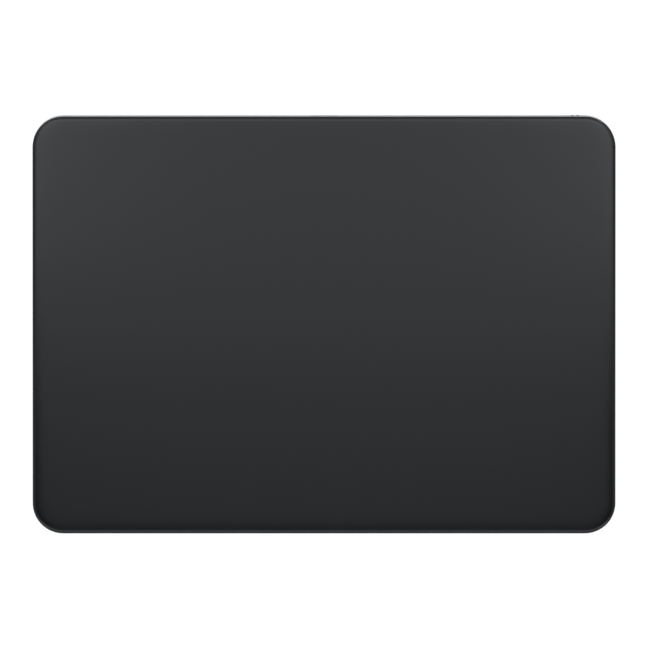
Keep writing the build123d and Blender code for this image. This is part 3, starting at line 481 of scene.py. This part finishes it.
def slab_frame(node):
    """The glass's own axes, read from its flat face: X, up the slope, and out of the glass."""
    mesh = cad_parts[node].data
    faces = [f for f in mesh.polygons if f.normal.z > TOP_FACE_RISE]
    normal = max(faces, key=lambda f: f.area).normal.copy()
    slope = normal.cross(Vector((1, 0, 0))).normalized()
    turn = Matrix((Vector((1, 0, 0)), slope, normal)).transposed()
    spots = [turn.transposed() @ v.co for v in mesh.vertices]
    low = Vector(min(s[k] for s in spots) for k in range(3))
    high = Vector(max(s[k] for s in spots) for k in range(3))
    return turn, low, high


def rounded_outline(half_x, half_y, radius):
    """Points of a rounded rectangle about the origin, the same number at each corner."""
    points = []
    for corner, (sx, sy) in enumerate(((1, 1), (-1, 1), (-1, -1), (1, -1))):
        for step in range(CORNER_STEPS + 1):
            angle = math.pi / 2 * (corner + step / CORNER_STEPS)
            x = sx * (half_x - radius) + radius * math.cos(angle)
            y = sy * (half_y - radius) + radius * math.sin(angle)
            points.append((x, y))
    return points


def glass_profile(thickness):
    """The edge of the glass as insets and depths.

    It eases down to the roll, which is part of an ellipse and turns down to the side.
    """
    run = GLASS_EASE - GLASS_ROLL
    profile = [(GLASS_EASE + GLASS_SUPPORT, 0.0), (GLASS_EASE, 0.0)]
    for step in range(1, EASE_STEPS + 1):
        share = step / EASE_STEPS
        early = GLASS_EASE_EARLY * share**GLASS_EASE_EARLY_POWER / GLASS_EASE_EARLY_POWER
        late = GLASS_EASE_LATE * share**GLASS_EASE_LATE_POWER / GLASS_EASE_LATE_POWER
        profile.append((GLASS_EASE - run * share, run * (early + late)))
    start = profile[-1][1]
    slope = math.tan(GLASS_EASE_EARLY + GLASS_EASE_LATE)
    first = math.atan(slope * GLASS_ROLL / GLASS_ROLL_DEPTH)
    reach = GLASS_ROLL / (1 - math.sin(first))
    for step in range(1, ROLL_STEPS + 1):
        angle = first + (math.pi / 2 - first) * step / ROLL_STEPS
        drop = GLASS_ROLL_DEPTH * (math.cos(first) - math.cos(angle))
        profile.append((reach * (1 - math.sin(angle)), start + drop))
    profile.append((0.0, thickness - GLASS_BACK_BEVEL))
    profile.append((GLASS_BACK_BEVEL, thickness))
    profile.append((GLASS_BACK_BEVEL + GLASS_SUPPORT, thickness))
    return profile


def glass_sheet():
    """The glass top, with its rolled edge as one smooth round."""
    turn, low, high = slab_frame("glass_top")
    middle = (low + high) / 2
    half = (high - low) / 2
    mesh = bpy.data.meshes.new("glass_sheet")
    build = bmesh.new()
    rings = []
    for inset, depth in glass_profile(high.z - low.z):
        outline = rounded_outline(half.x - inset, half.y - inset, GLASS_CORNER - inset)
        spots = [Vector((middle.x + x, middle.y + y, high.z - depth)) for x, y in outline]
        rings.append([build.verts.new(turn @ spot) for spot in spots])
    for upper, lower in zip(rings, rings[1:]):
        for n in range(len(upper)):
            after = (n + 1) % len(upper)
            build.faces.new((upper[n], lower[n], lower[after], upper[after]))
    build.faces.new(rings[0])
    build.faces.new(list(reversed(rings[-1])))
    for face in build.faces:
        face.smooth = True
    bmesh.ops.recalc_face_normals(build, faces=build.faces)
    build.to_mesh(mesh)
    build.free()
    piece = bpy.data.objects.new("glass_sheet", mesh)
    bpy.context.scene.collection.objects.link(piece)
    dress(piece, "black_glass")
    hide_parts("glass_top")
    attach(piece, "base")


# Haptic springs


def haptic_spring(node):
    """A folded spring between the tray and the shuttle, copied from its node and given spring steel."""
    piece = bpy.data.objects.new("folded_" + node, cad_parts[node].data.copy())
    bpy.context.scene.collection.objects.link(piece)
    dress(piece, "spring_steel")
    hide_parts(node)
    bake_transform(piece)


# Studio


def floor_white():
    """Pale paper. To the camera it glows nearly white and holds only a soft shadow."""
    m = Recipe("floor_white")
    tone = m.mix(m.noise(40 * MM, 2.0), grey(FLOOR_PAPER_DARK), grey(FLOOR_PAPER_LIGHT))
    paper = m.add("ShaderNodeBsdfDiffuse", {"Color": tone})
    shadow = m.add("ShaderNodeBsdfDiffuse", {"Color": grey(FLOOR_SHADE)})
    glow = m.add("ShaderNodeEmission", {"Color": WHITE, "Strength": FLOOR_GLOW})
    white = m.add("ShaderNodeAddShader", {0: shadow.outputs["BSDF"], 1: glow.outputs["Emission"]})
    return m.close(m.seen_or_not(paper.outputs["BSDF"], white.outputs["Shader"]))


def make_floor():
    """A wide pale floor, bright enough to show white."""
    build = bmesh.new()
    bmesh.ops.create_circle(build, cap_ends=True, radius=FLOOR_RADIUS, segments=FLOOR_SIDES)
    mesh = bpy.data.meshes.new("floor")
    build.to_mesh(mesh)
    build.free()
    floor = bpy.data.objects.new("floor", mesh)
    bpy.context.scene.collection.objects.link(floor)
    mesh.materials.append(floor_white())


def make_camera():
    """A distant camera straight above, framed as the photograph is."""
    scale = (PHOTO_RIGHT - PHOTO_LEFT) / (cad_high.x - cad_low.x)
    middle = (cad_low + cad_high) / 2
    off_x = (PHOTO_SIDE - PHOTO_LEFT - PHOTO_RIGHT) / 2 / scale
    off_y = (PHOTO_REAR + PHOTO_FRONT - PHOTO_SIDE) / 2 / scale
    data = bpy.data.cameras.new("camera")
    data.lens = LENS
    data.sensor_width = SENSOR
    distance = PHOTO_SIDE / scale * LENS / SENSOR
    data.clip_end = 2 * distance
    camera = bpy.data.objects.new("camera", data)
    camera.location = (middle.x + off_x, middle.y + off_y, middle.z + distance)
    bpy.context.scene.collection.objects.link(camera)
    bpy.context.scene.camera = camera


def area_light(name, place, size, radiance, target):
    """A soft rectangular light. Its brightness is the radiance of its face."""
    data = bpy.data.lights.new(name, "AREA")
    data.shape = "RECTANGLE"
    data.size, data.size_y = size
    data.energy = radiance * math.pi * size[0] * size[1]
    data.color = LIGHT_COLOUR
    light = bpy.data.objects.new(name, data)
    light.location = place
    light.rotation_euler = (Vector(place) - Vector(target)).to_track_quat("Z", "Y").to_euler()
    light.visible_camera = False
    bpy.context.scene.collection.objects.link(light)


def make_world():
    """Grey surroundings, lighter towards the horizon, which the camera sees as plain white."""
    world = bpy.data.worlds.new("studio")
    world.use_nodes = True
    n = Nodes(world.node_tree)
    direction = n.add("ShaderNodeTexCoord").outputs["Generated"]
    rise = n.add("ShaderNodeSeparateXYZ", {"Vector": direction}).outputs["Z"]
    strength = n.remap(rise, 0.0, WORLD_TOP_RISE, WORLD_HORIZON, WORLD_TOP)
    around = n.add("ShaderNodeBackground", {"Color": WORLD_COLOUR, "Strength": strength})
    plain = n.add("ShaderNodeBackground", {"Color": WHITE})
    shader = n.seen_or_not(around.outputs["Background"], plain.outputs["Background"])
    n.add("ShaderNodeOutputWorld", {"Surface": shader})
    bpy.context.scene.world = world


# Lights that face straight down: the name, place, size and radiance of each
CANOPY = [
    ("canopy", (0.0, 0.04, CANOPY_HEIGHT), (0.5, 0.16), 1.0),
    ("canopy_front", (0.0, -0.072, CANOPY_HEIGHT), (0.22, 0.064), 0.56),
    ("canopy_low", (0.0, -0.17, CANOPY_HEIGHT), (0.24, 0.13), 0.2),
    ("canopy_left", (-0.12, 0.1, PATCH_HEIGHT), (0.1, 0.2), 0.75),
    ("canopy_right", (0.12, 0.1, PATCH_HEIGHT), (0.1, 0.2), 0.75),
    ("canopy_rear", (0.0, 0.15, CANOPY_HEIGHT), (0.5, 0.06), 2.2),
]

# Lights that face the object from around it, the last four of them low down
SURROUND = [
    ("left", (-0.45, 0.0, 0.35), (0.5, 0.3), 0.5),
    ("right", (0.45, 0.0, 0.35), (0.5, 0.3), 0.5),
    ("rear", (0.0, 0.45, 0.42), (0.9, 0.35), 0.7),
    ("rear_left", (-0.45, 0.45, 0.45), (0.4, 0.3), 0.8),
    ("rear_right", (0.45, 0.45, 0.45), (0.4, 0.3), 0.8),
    ("front", (0.0, -0.42, 0.42), (0.9, 0.2), 1.3),
    ("front_left", (-0.42, -0.42, 0.4), (0.3, 0.3), 0.8),
    ("front_right", (0.42, -0.42, 0.4), (0.3, 0.3), 0.8),
    ("low_rear", (0.0, 0.9, 0.07), (1.5, 0.14), 1.3),
    ("low_front", (0.0, -0.9, 0.07), (1.5, 0.14), 1.3),
    ("low_left", (-0.9, 0.0, 0.07), (1.5, 0.14), 1.3),
    ("low_right", (0.9, 0.0, 0.07), (1.5, 0.14), 1.3),
]

make_camera()
glass_sheet()
haptic_spring("haptic_spring_left")
haptic_spring("haptic_spring_right")
dress_cad_nodes()
make_floor()
make_world()
for name, place, size, radiance in CANOPY:
    area_light(name, place, size, radiance, (place[0], place[1], 0.0))
for name, place, size, radiance in SURROUND:
    area_light(name, place, size, radiance, (0.0, 0.0, 0.0))
bpy.context.scene.view_settings.view_transform = "Standard"
